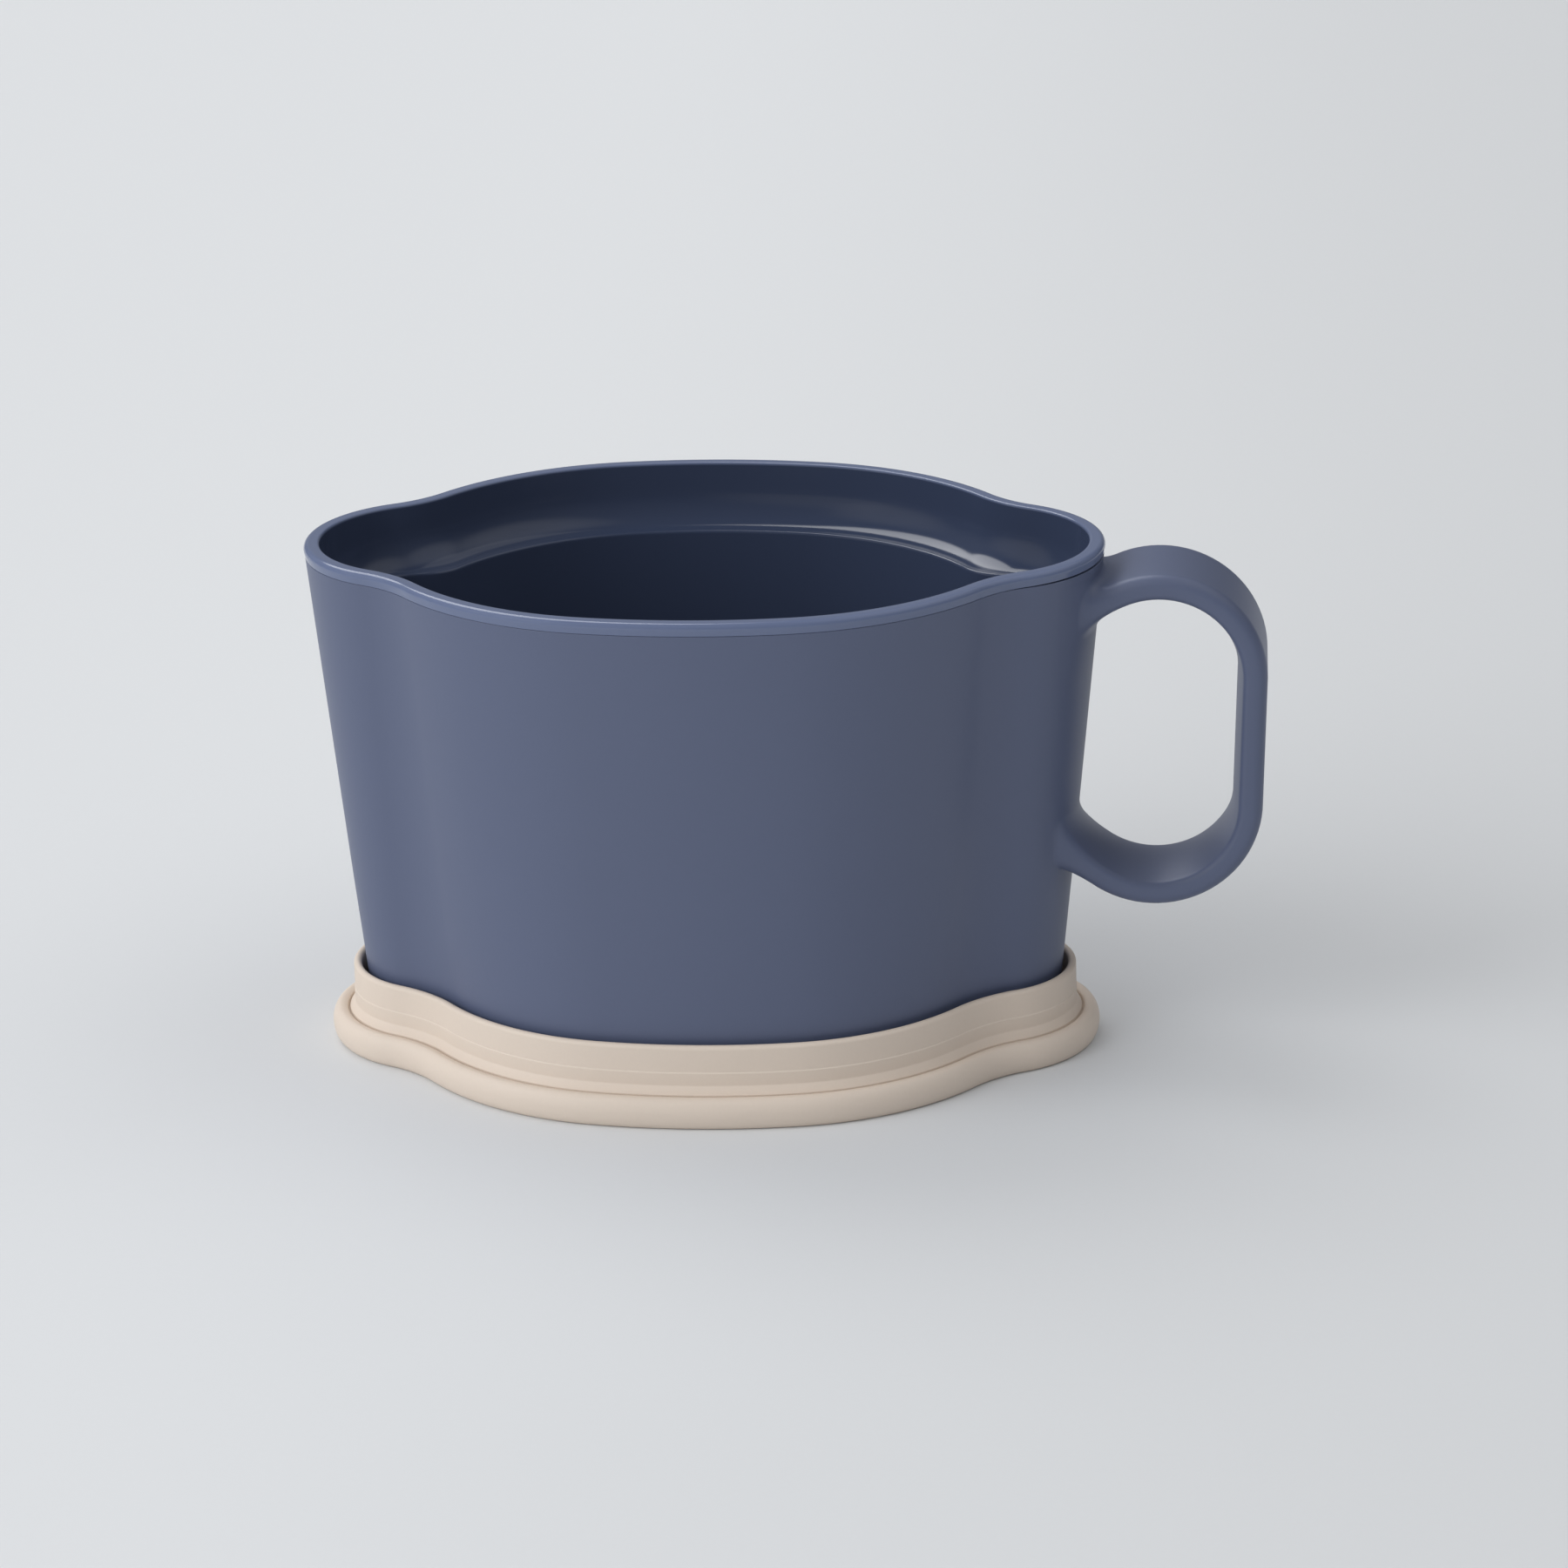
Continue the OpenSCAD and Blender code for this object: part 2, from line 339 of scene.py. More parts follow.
class Trace:
    """A chain of edges drawn point by point with lines and arcs."""

    # A line gets a row this close to each end, so that shading stays flat between
    GUARD: ClassVar[float] = 0.18
    # and never farther from it than this share of a short line
    MOST_GUARD: ClassVar[float] = 0.25

    def __init__(self, bm: BMesh, start: Sequence[float]) -> None:
        """Put down the first point.

        Args:
            bm: The mesh to draw in.
            start: The first point.
        """
        self.bm = bm
        self.before = set(bm.edges)
        self.first = bm.verts.new(start)
        self.tip = self.first

    def line(self, end: Sequence[float], rows: int = 1) -> "Trace":
        """Draw a straight line.

        Args:
            end: Where it ends.
            rows: Number of even parts, apart from the short ones at both ends.

        Returns:
            This chain.
        """
        length = (Vector(end) - self.tip.co).length
        margin = min(self.MOST_GUARD, self.GUARD / max(length, MERGE))
        inner = [margin + (1 - 2 * margin) * i / rows for i in range(rows + 1)]
        return self.through(end, inner + [1.0])

    def even_line(self, end: Sequence[float], rows: int) -> "Trace":
        """Draw a straight line in even parts only."""
        return self.through(end, [(i + 1) / rows for i in range(rows)])

    def through(self, end: Sequence[float], shares: Sequence[float]) -> "Trace":
        """Draw a straight line through points at some shares of its length.

        Args:
            end: Where it ends.
            shares: Shares from 0 to 1, in their order.

        Returns:
            This chain.
        """
        start, stop = self.tip.co.copy(), Vector(end)
        for share in shares:
            made = bmesh.ops.extrude_vert_indiv(self.bm, verts=[self.tip])
            self.tip = made["verts"][0]
            self.tip.co = start.lerp(stop, share)
        return self

    def arc(self, centre: Sequence[float], degrees: float, steps: int = 7,
            axis: Sequence[float] = Y_AXIS, wide: float = 1.0) -> "Trace":
        """Draw an arc about a centre.

        Args:
            centre: The arc's centre.
            degrees: How far it turns about the axis.
            steps: Number of its edges.
            axis: Direction of the turn's axis.
            wide: Stretch along X, for an arc of an ellipse.

        Returns:
            This chain.
        """
        middle = Matrix.Translation(-Vector(centre))
        start = self.tip.co.copy()
        known = set(self.bm.verts)
        self.tip.co.x = centre[0] + (start.x - centre[0]) / wide
        made = bmesh.ops.spin(self.bm, geom=[self.tip], cent=centre, axis=axis,
                              angle=math.radians(degrees), steps=steps)
        drawn = [v for v in self.bm.verts if v not in known] + [self.tip]
        bmesh.ops.scale(self.bm, vec=(wide, 1, 1), space=middle, verts=drawn)
        self.tip = next(v for v in made["geom_last"] if isinstance(v, BMVert))
        return self

    def close(self) -> "Trace":
        """Join the last point to the first."""
        bmesh.ops.pointmerge(self.bm, verts=[self.tip, self.first], merge_co=self.first.co)
        return self

    def edges(self) -> list[BMEdge]:
        """All edges drawn so far."""
        return [e for e in self.bm.edges if e not in self.before]


@dataclass(frozen=True)
class Outline:
    """Lobed outline of twelve tangent arcs, the same in each quarter.

    Attributes:
        half_length: Reach along X.
        half_width: Reach along Y.
        end_radius: Radius of the two narrow ends.
        waist_radius: Radius of the hollows between ends and shoulders.
        shoulder_radius: Radius of the shoulders.
        belly_radius: Radius of the flatter front and back between the shoulders.
        belly_turn: How far the belly turns to each side, in degrees.
    """

    half_length: float
    half_width: float
    end_radius: float
    waist_radius: float
    shoulder_radius: float
    belly_radius: float
    belly_turn: float = 10.0

    END_STEPS: ClassVar[int] = 24
    WAIST_STEPS: ClassVar[int] = 14
    SHOULDER_STEPS: ClassVar[int] = 30
    BELLY_STEPS: ClassVar[int] = 10

    def at(self, out: float, z: float) -> tuple[float, float, float]:
        """Point of a section at the +X end, from its place outside the outline."""
        return self.half_length + out, 0.0, z

    def turns(self) -> list[tuple[Vector, float, int]]:
        """Centre, turn and steps of each arc of the first quarter.

        Returns:
            End, waist, shoulder and belly, in the order in which a section passes them.
        """
        half = math.radians(self.belly_turn)
        end = Vector((self.half_length - self.end_radius, 0, 0))
        back = Vector((0, self.half_width - self.belly_radius, 0))
        toward = Vector((math.sin(half), math.cos(half), 0))
        side = back + (self.belly_radius - self.shoulder_radius) * toward
        end_reach = self.end_radius + self.waist_radius
        side_reach = self.shoulder_radius + self.waist_radius
        way = side - end
        far = way.length
        along = (end_reach ** 2 - side_reach ** 2 + far ** 2) / (2 * far)
        across = math.sqrt(end_reach ** 2 - along ** 2)
        unit = way / far
        waist = end + along * unit + across * Vector((unit.y, -unit.x, 0))
        leaves = math.atan2(waist.y, waist.x - end.x)
        meets = math.atan2(waist.y - side.y, waist.x - side.x)
        return [(end, leaves, self.END_STEPS),
                (waist, meets - leaves, self.WAIST_STEPS),
                (side, QUARTER - half - meets, self.SHOULDER_STEPS),
                (back, half, self.BELLY_STEPS)]

    def carry(self, bm: BMesh, section: Iterable[BMEdge]) -> None:
        """Carry a section from the +X end round the first quarter.

        Args:
            bm: The mesh that holds the section.
            section: Edges in the plane y = 0.
        """
        moving: list[Any] = list(section)
        moving += dict.fromkeys(v for e in moving for v in e.verts)
        for centre, turn, steps in self.turns():
            made = bmesh.ops.spin(bm, geom=moving, cent=centre, axis=Z_AXIS, angle=turn, steps=steps)
            moving = made["geom_last"]


def unfold(bm: BMesh) -> None:
    """Mirror a quarter to the whole and join it.

    Args:
        bm: The mesh, changed in place.
    """
    for axis in ("X", "Y"):
        bmesh.ops.mirror(bm, geom=bm.verts[:] + bm.edges[:] + bm.faces[:], matrix=Matrix(),
                         merge_dist=MERGE, axis=axis)
    bmesh.ops.remove_doubles(bm, verts=bm.verts[:], dist=MERGE)
    bmesh.ops.recalc_face_normals(bm, faces=bm.faces[:])


def seal(bm: BMesh) -> None:
    """Close the open floors and turn all faces outwards.

    Args:
        bm: The mesh, changed in place.
    """
    floors = bmesh.ops.edgeloop_fill(bm, edges=[e for e in bm.edges if e.is_boundary])["faces"]
    bmesh.ops.poke(bm, faces=floors)
    bmesh.ops.recalc_face_normals(bm, faces=bm.faces[:])


def open_rim(bm: BMesh, z: float) -> list[BMEdge]:
    """Open edges at one height."""
    return [e for e in bm.edges if e.is_boundary and all(abs(v.co.z - z) < MERGE for v in e.verts)]


def runs_on(corner: BMVert, loop: set[BMVert]) -> Vector:
    """Direction in which a surface runs on past its open edge.

    Args:
        corner: A point of the edge.
        loop: All points of the edge.

    Returns:
        A direction of length 1.
    """
    inward = [e.other_vert(corner) for e in corner.link_edges]
    ways = [(corner.co - v.co).normalized() for v in inward if v not in loop]
    return sum(ways, Vector()).normalized()


# Where two surfaces would meet without a round, from a point of each and its way on
Corner = Callable[[BMVert, BMVert, Vector, Vector], Vector]


def soft_bridge(bm: BMesh, first: Sequence[BMEdge], second: Sequence[BMEdge],
                cuts: int, corner: Corner) -> None:
    """Join two open edges by faces that leave both surfaces without a crease.

    Args:
        bm: The mesh, changed in place.
        first: Edges of the one opening.
        second: Edges of the other opening, as many.
        cuts: Number of rows of points between them.
        corner: Gives the place that each row bends towards, and may move the first point.
    """
    loops = [{v for e in edges for v in e.verts} for edges in (first, second)]
    bm.normal_update()
    ways = {v: runs_on(v, loop) for loop in loops for v in loop}
    bridge = bmesh.ops.bridge_loops(bm, edges=[*first, *second])["edges"]
    spans = [(a, b) if a in loops[0] else (b, a) for a, b in (e.verts for e in bridge)]
    bends = [corner(a, b, ways[a], ways[b]) for a, b in spans]
    curves = [(a.co.copy(), b.co.copy(),
               interpolate_bezier(a.co, a.co.lerp(bend, ROUND), b.co.lerp(bend, ROUND), b.co, cuts + 2))
              for (a, b), bend in zip(spans, bends)]
    known = set(bm.verts)
    bmesh.ops.subdivide_edges(bm, edges=bridge, cuts=cuts, use_grid_fill=True)
    fresh = [v for v in bm.verts if v not in known]
    places = KDTree(len(fresh))
    for i, v in enumerate(fresh):
        places.insert(v.co, i)
    places.balance()
    for start, end, curve in curves:
        for row in range(1, cuts + 1):
            _, i, _ = places.find(start.lerp(end, row / (cuts + 1)))
            fresh[i].co = curve[row]


@dataclass(frozen=True)
class Form:
    """What the three pieces share: the rim's outline and the lean of the wall.

    Attributes:
        rim: Outline of the rim.
        rim_z: Height of the rim above the table.
        foot_z: Height of the mug's foot.
        draft: How far the wall leans in for each millimetre down.
    """

    rim: Outline
    rim_z: float
    foot_z: float
    draft: float = 0.097

    # Radii of the rim's ends, waists, shoulders and bellies
    RIM_RADII: ClassVar[tuple[float, float, float, float]] = (22.8, 22.0, 50.0, 105.0)

    @classmethod
    def from_frame(cls) -> "Form":
        """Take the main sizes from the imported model.

        Returns:
            The form in millimetres.
        """
        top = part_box(Node.LINER.value)[1] / MM
        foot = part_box(Node.SHELL.value)[0] / MM
        return cls(Outline(top.x, top.y, *cls.RIM_RADII), top.z, foot.z)

    def wall(self, z: float) -> float:
        """How far outside the rim's outline the outer wall lies at a height."""
        return -self.draft * (self.rim_z - z)

    def beyond(self, place: Vector) -> float:
        """How far a place near the +X end lies outside the outer wall."""
        end = self.rim.half_length - self.rim.end_radius
        return math.hypot(place.x - end, place.y) - self.rim.end_radius - self.wall(place.z)

    def away(self, place: Vector) -> Vector:
        """Direction square to the outer wall near the +X end.

        Args:
            place: A place near the wall.

        Returns:
            A direction of length 1, outwards.
        """
        end = self.rim.half_length - self.rim.end_radius
        level = Vector((place.x - end, place.y, 0)).normalized()
        return (level - Vector((0, 0, self.draft))).normalized()

    def at(self, out: float, z: float) -> tuple[float, float, float]:
        """Point of a section at the +X end, from its place outside the rim's outline."""
        return self.rim.at(out, z)

    def outer(self, z: float, out: float = 0.0) -> tuple[float, float, float]:
        """Point of a section that follows the outer wall."""
        return self.at(self.wall(z) + out, z)


@dataclass
class Piece:
    """A finished piece that stands for a node of the frame.

    Attributes:
        form: What the pieces share.
    """

    form: Form

    NAME: ClassVar[str] = ""
    BODY: ClassVar[Body]
    NODE: ClassVar[Node]
    SLOT: ClassVar[Slot]
    FINISH: ClassVar[MouldedPlastic]

    def build(self, bm: BMesh) -> None:
        """Model the piece in millimetres."""
        raise NotImplementedError

    def dress(self, piece: bpy.types.Object) -> None:
        """Give the piece its finish and smooth shading."""
        piece.data.materials.append(self.FINISH.material())
        piece.data.shade_smooth()

    def make(self) -> bpy.types.Object:
        """Build, dress and hang the piece on its body.

        Returns:
            The finished object.
        """
        bm = bmesh.new()
        self.build(bm)
        bmesh.ops.scale(bm, vec=(MM, MM, MM), verts=bm.verts[:])
        mesh = bpy.data.meshes.new(self.NAME)
        bm.to_mesh(mesh)
        bm.free()
        piece = bpy.data.objects.new(self.NAME, mesh)
        bpy.context.scene.collection.objects.link(piece)
        self.dress(piece)
        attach(piece, self.BODY.value)
        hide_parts(self.NODE.value)
        LOG.info("%s: %d points, %d faces", self.NAME, len(mesh.vertices), len(mesh.polygons))
        return piece


@dataclass(frozen=True)
class Strap:
    """Strap handle: a rounded bar bent twice, from the shell to the shell.

    Attributes:
        thickness: Thickness of the bar in its middle.
        width: Width from front to back.
        face: How far the outer face lies outside the bend's radius.
        outer_round: Radius along its two outer edges.
        inner_round: Radius along its two inner edges.
        crown: Half of the angle through which the inner face curves, in degrees.
        radius: Radius of the bends at the bar's middle.
        reach: How far the upper bend's centre lies beyond the rim's end.
        drop: Depth of the upper bend's centre below the rim.
        grip: Length of the straight grip.
        lean: How far the lower bend lies nearer to the body.
        top_turn: Turn of the upper bend from the grip, in degrees.
        low_turn: Turn of the lower bend from the grip, in degrees.
        top_window: Heights between which the upper root opens out of the wall.
        low_window: Heights between which the lower root opens out of the wall.
        top_root: Width of the round along the upper root, and what the inner side adds to it.
        low_root: Width of the round along the lower root, and what the inner side adds to it.
    """

    thickness: float = 5.2
    width: float = 20.2
    face: float = 2.2
    outer_round: float = 2.0
    inner_round: float = 1.2
    crown: float = 11.5
    radius: float = 16.6
    reach: float = 9.4
    drop: float = 22.6
    grip: float = 23.0
    lean: float = 0.7
    top_turn: float = 114.0
    low_turn: float = 126.0
    top_window: tuple[float, float] = (71.6, 88.6)
    low_window: tuple[float, float] = (30.6, 49.6)
    top_root: tuple[float, float] = (2.2, 1.2)
    low_root: tuple[float, float] = (1.2, 3.6)

    # Columns of the wall on each side of the middle, and rows, that a root opens out of
    WINDOW_COLUMNS: ClassVar[int] = 16
    WINDOW_ROWS: ClassVar[int] = 8
    CORNER_STEPS: ClassVar[int] = 6
    BEND_STEPS: ClassVar[int] = 30
    GRIP_STEPS: ClassVar[int] = 8
    ROOT_CUTS: ClassVar[int] = 9
    # Rounds in which a foot is found, and the least slope of the strap against the wall
    FOOT_STEPS: ClassVar[int] = 8
    STEEPEST: ClassVar[float] = 0.3

    def section(self, bm: BMesh, centre: Vector) -> list[BMEdge]:
        """Draw the bar's cross-section in a level plane.

        Args:
            bm: The mesh to draw in.
            centre: Middle of the bar.

        Returns:
            The edges of the closed ring.
        """
        side = self.width / 2
        big, small = self.outer_round, self.inner_round
        half = math.radians(self.crown)
        back = side - small
        crown_radius = back / math.sin(half) + small
        middle = self.face - self.thickness + crown_radius
        corner = middle - back / math.tan(half)
        wide_rows = 2 * self.WINDOW_COLUMNS - self.CORNER_STEPS
        thin_rows = self.WINDOW_ROWS - self.CORNER_STEPS

        def point(x: float, y: float) -> tuple[float, float, float]:
            """Point of the section from the bar's middle."""
            return centre.x + x, centre.y + y, centre.z

        ring = Trace(bm, point(self.face, big - side))
        ring.even_line(point(self.face, side - big), wide_rows)
        ring.arc(point(self.face - big, side - big), 90, self.CORNER_STEPS, Z_AXIS)
        ring.even_line(point(corner, side), thin_rows)
        ring.arc(point(corner, back), 90 - self.crown, self.CORNER_STEPS, Z_AXIS)
        ring.arc(point(middle, 0.0), 2 * self.crown, wide_rows, Z_AXIS)
        ring.arc(point(corner, -back), 90 - self.crown, self.CORNER_STEPS, Z_AXIS)
        ring.even_line(point(self.face - big, -side), thin_rows)
        ring.arc(point(self.face - big, big - side), 90, self.CORNER_STEPS, Z_AXIS)
        return ring.close().edges()

    def bend(self, bm: BMesh, form: Form) -> list[list[BMEdge]]:
        """Bend the bar from its upper to its lower root.

        Args:
            bm: The mesh to work in.
            form: What the pieces share.

        Returns:
            The open rings at the upper and at the lower root.
        """
        top = Vector((form.rim.half_length + self.reach, 0, form.rim_z - self.drop))
        low = top - Vector((self.lean, 0, self.grip))
        ring = self.section(bm, top + Vector((self.radius, 0, 0)))
        points = list(dict.fromkeys(v for e in ring for v in e.verts))
        upper = bmesh.ops.spin(bm, geom=ring + points, cent=top, axis=Y_AXIS,
                               angle=-math.radians(self.top_turn), steps=self.BEND_STEPS)["geom_last"]
        moving: list[Any] = ring + points
        for _ in range(self.GRIP_STEPS):
            made = bmesh.ops.extrude_edge_only(bm, edges=[e for e in moving if isinstance(e, BMEdge)])
            moving = made["geom"]
            bmesh.ops.translate(bm, vec=(low - top) / self.GRIP_STEPS,
                                verts=[v for v in moving if isinstance(v, BMVert)])
        moving = [x for x in moving if isinstance(x, BMVert) or isinstance(x, BMEdge) and
                  x.is_boundary and all(abs(v.co.z - low.z) < MERGE for v in x.verts)]
        lower = bmesh.ops.spin(bm, geom=moving, cent=low, axis=Y_AXIS,
                               angle=math.radians(self.low_turn), steps=self.BEND_STEPS)["geom_last"]
        return [[e for e in ends if isinstance(e, BMEdge)] for ends in (upper, lower)]

    def window(self, bm: BMesh, form: Form, heights: tuple[float, float], wall: float) -> list[BMEdge]:
        """Open the outer wall where a root leaves it.

        Args:
            bm: The shell's mesh.
            form: What the pieces share.
            heights: Lowest and highest row of the opening.
            wall: Thickness of the shell.

        Returns:
            The edges round the opening.
        """
        end, leaves, steps = form.rim.turns()[0]
        limit = leaves / steps * self.WINDOW_COLUMNS

        def opened(face: BMFace) -> bool:
            """Whether a face lies in the opening.

            Args:
                face: A face of the shell.

            Returns:
                True on the outer wall between the heights and columns.
            """
            place = face.calc_center_median()
            way = place - end
            reach = math.hypot(way.x, way.y) - form.rim.end_radius
            return (heights[0] < place.z < heights[1] and way.x > 0 and
                    abs(math.atan2(way.y, way.x)) < limit and reach > form.wall(place.z) - wall / 2)

        faces = [f for f in bm.faces if opened(f)]
        bmesh.ops.delete(bm, geom=faces, context="FACES")
        middle = sum(heights) / 2
        return [e for e in bm.edges if e.is_boundary and len(e.link_faces) == 1 and
                abs(e.verts[0].co.z - middle) < heights[1] - heights[0] and e.verts[0].co.x > end.x]

    def join(self, bm: BMesh, form: Form, wall: float) -> None:
        """Grow the strap out of the shell with soft roots.

        Args:
            bm: The shell's mesh, changed in place.
            form: What the pieces share.
            wall: Thickness of the shell.
        """
        openings = [self.window(bm, form, heights, wall) for heights in (self.top_window, self.low_window)]
        rings = self.bend(bm, form)
        bmesh.ops.recalc_face_normals(bm, faces=bm.faces[:])
        roots = (self.root_corner(form, *self.top_root, -1.0), self.root_corner(form, *self.low_root, 1.0))
        for opening, ring, root in zip(openings, rings, roots):
            LOG.info("root: opening of %d edges, ring of %d edges", len(opening), len(ring))
            soft_bridge(bm, opening, ring, self.ROOT_CUTS, root)
        bmesh.ops.recalc_face_normals(bm, faces=bm.faces[:])

    def root_corner(self, form: Form, width: float, sweep: float, inner: float) -> Corner:
        """Rule that lays the wall's opening round the strap's foot.

        Args:
            form: What the pieces share.
            width: How far the opening keeps from the foot.
            sweep: How much farther it keeps on the handle's inner side.
            inner: 1 where the inner side lies above the root, -1 where it lies below.

        Returns:
            A rule that gives the strap's foot on the wall and moves the wall's point beside it.
        """

        def corner(edge: BMVert, bar: BMVert, _: Vector, way: Vector) -> Vector:
            """Find the foot of one line of the strap on the wall.

            Args:
                edge: The wall's point, which is moved beside the foot.
                bar: The last point of the strap's line.
                way: Direction in which the line runs on.

            Returns:
                The foot.
            """
            foot = bar.co.copy()
            for _ in range(self.FOOT_STEPS):
                foot += way * (form.beyond(foot) / max(-way.dot(form.away(foot)), self.STEEPEST))
            square = form.away(foot)
            aside = (bar.normal - bar.normal.dot(square) * square).normalized()
            place = foot + (width + sweep * max(inner * aside.z, 0.0) ** 2) * aside
            edge.co = place - form.beyond(place) * form.away(place)
            return foot

        return corner


@dataclass
class OuterShell(Piece):
    """Outer wall of the mug with its foot and its strap handle.

    Attributes:
        wall: Thickness of the wall and floor.
        foot_ring: Width of the ring that the mug stands on.
        foot_recess: Depth of the recess inside the ring.
        foot_round: Radius between the wall and the foot.
        top_round: Radius along the wall's top edge.
        joint_rise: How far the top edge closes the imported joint.
        joint_slope: How fast the top edge falls towards the handle, which opens the joint there.
        joint_start: How far along X the top edge begins to fall.
        strap: The handle.
    """

    wall: float = 1.4
    foot_ring: float = 3.5
    foot_recess: float = 0.8
    foot_round: float = 1.6
    top_round: float = 0.12
    joint_rise: float = 0.09
    joint_slope: float = 0.022
    joint_start: float = 53.0
    strap: Strap = Strap()

    # Flat strip with which a section ends inside a floor
    FLOOR_STRIP: ClassVar[float] = 6.0
    # Height of the band below the top edge that the joint opens in
    JOINT_BAND: ClassVar[float] = 0.5

    NAME: ClassVar[str] = "mug_shell"
    BODY: ClassVar[Body] = Body.MUG
    NODE: ClassVar[Node] = Node.SHELL
    SLOT: ClassVar[Slot] = Slot.SHELL
    FINISH: ClassVar[MouldedPlastic] = SATIN_SHELL

    def top_z(self) -> float:
        """Height of the wall's top edge."""
        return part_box(Node.SHELL.value)[1].z / MM + self.joint_rise

    def section(self, bm: BMesh) -> list[BMEdge]:
        """Draw the wall's section from the foot over the top edge to the inner floor.

        Args:
            bm: The mesh to draw in.

        Returns:
            The section's edges.
        """
        form = self.form
        foot = form.foot_z
        top = self.top_z()
        floor = foot + self.foot_recess + self.wall
        ring = form.wall(foot) - self.foot_round
        inner = form.wall(floor) - self.wall
        r = self.top_round
        recess = ring - self.foot_ring - self.foot_recess
        trace = Trace(bm, form.at(recess - self.FLOOR_STRIP, foot + self.foot_recess))
        trace.line(form.at(recess, foot + self.foot_recess))
        trace.line(form.at(ring - self.foot_ring, foot), 1)
        trace.line(form.at(ring, foot), 2)
        trace.arc(form.at(ring, foot + self.foot_round), -90)
        rows = self.strap.WINDOW_ROWS
        low, high = self.strap.low_window, self.strap.top_window
        trace.line(form.outer(low[0]), 7)
        trace.even_line(form.outer(low[1]), rows)
        trace.even_line(form.outer(high[0]), 8)
        trace.even_line(form.outer(high[1]), rows)
        trace.line(form.outer(top - r), 2)
        trace.arc(form.outer(top - r, -r), -90)
        trace.line(form.outer(top, r - self.wall))
        trace.arc(form.outer(top - r, r - self.wall), -90)
        trace.line(form.at(inner, floor + self.foot_round), 14)
        trace.arc(form.at(inner - self.foot_round, floor + self.foot_round), 90)
        trace.line(form.at(inner - self.foot_round - self.FLOOR_STRIP, floor))
        return trace.edges()

    def build(self, bm: BMesh) -> None:
        """Sweep the wall, close its floors and grow the handle out of it.

        Args:
            bm: An empty mesh, filled in millimetres.
        """
        self.form.rim.carry(bm, self.section(bm))
        unfold(bm)
        seal(bm)
        self.strap.join(bm, self.form, self.wall)
        limit = self.top_z() - self.JOINT_BAND
        edge = [v for v in bm.verts if v.co.z > limit and v.co.x > self.joint_start]
        fall = Matrix()
        fall[2][0] = -self.joint_slope
        start = Matrix.Translation((-self.joint_start, 0, 0))
        bmesh.ops.transform(bm, matrix=fall, space=start, verts=edge)


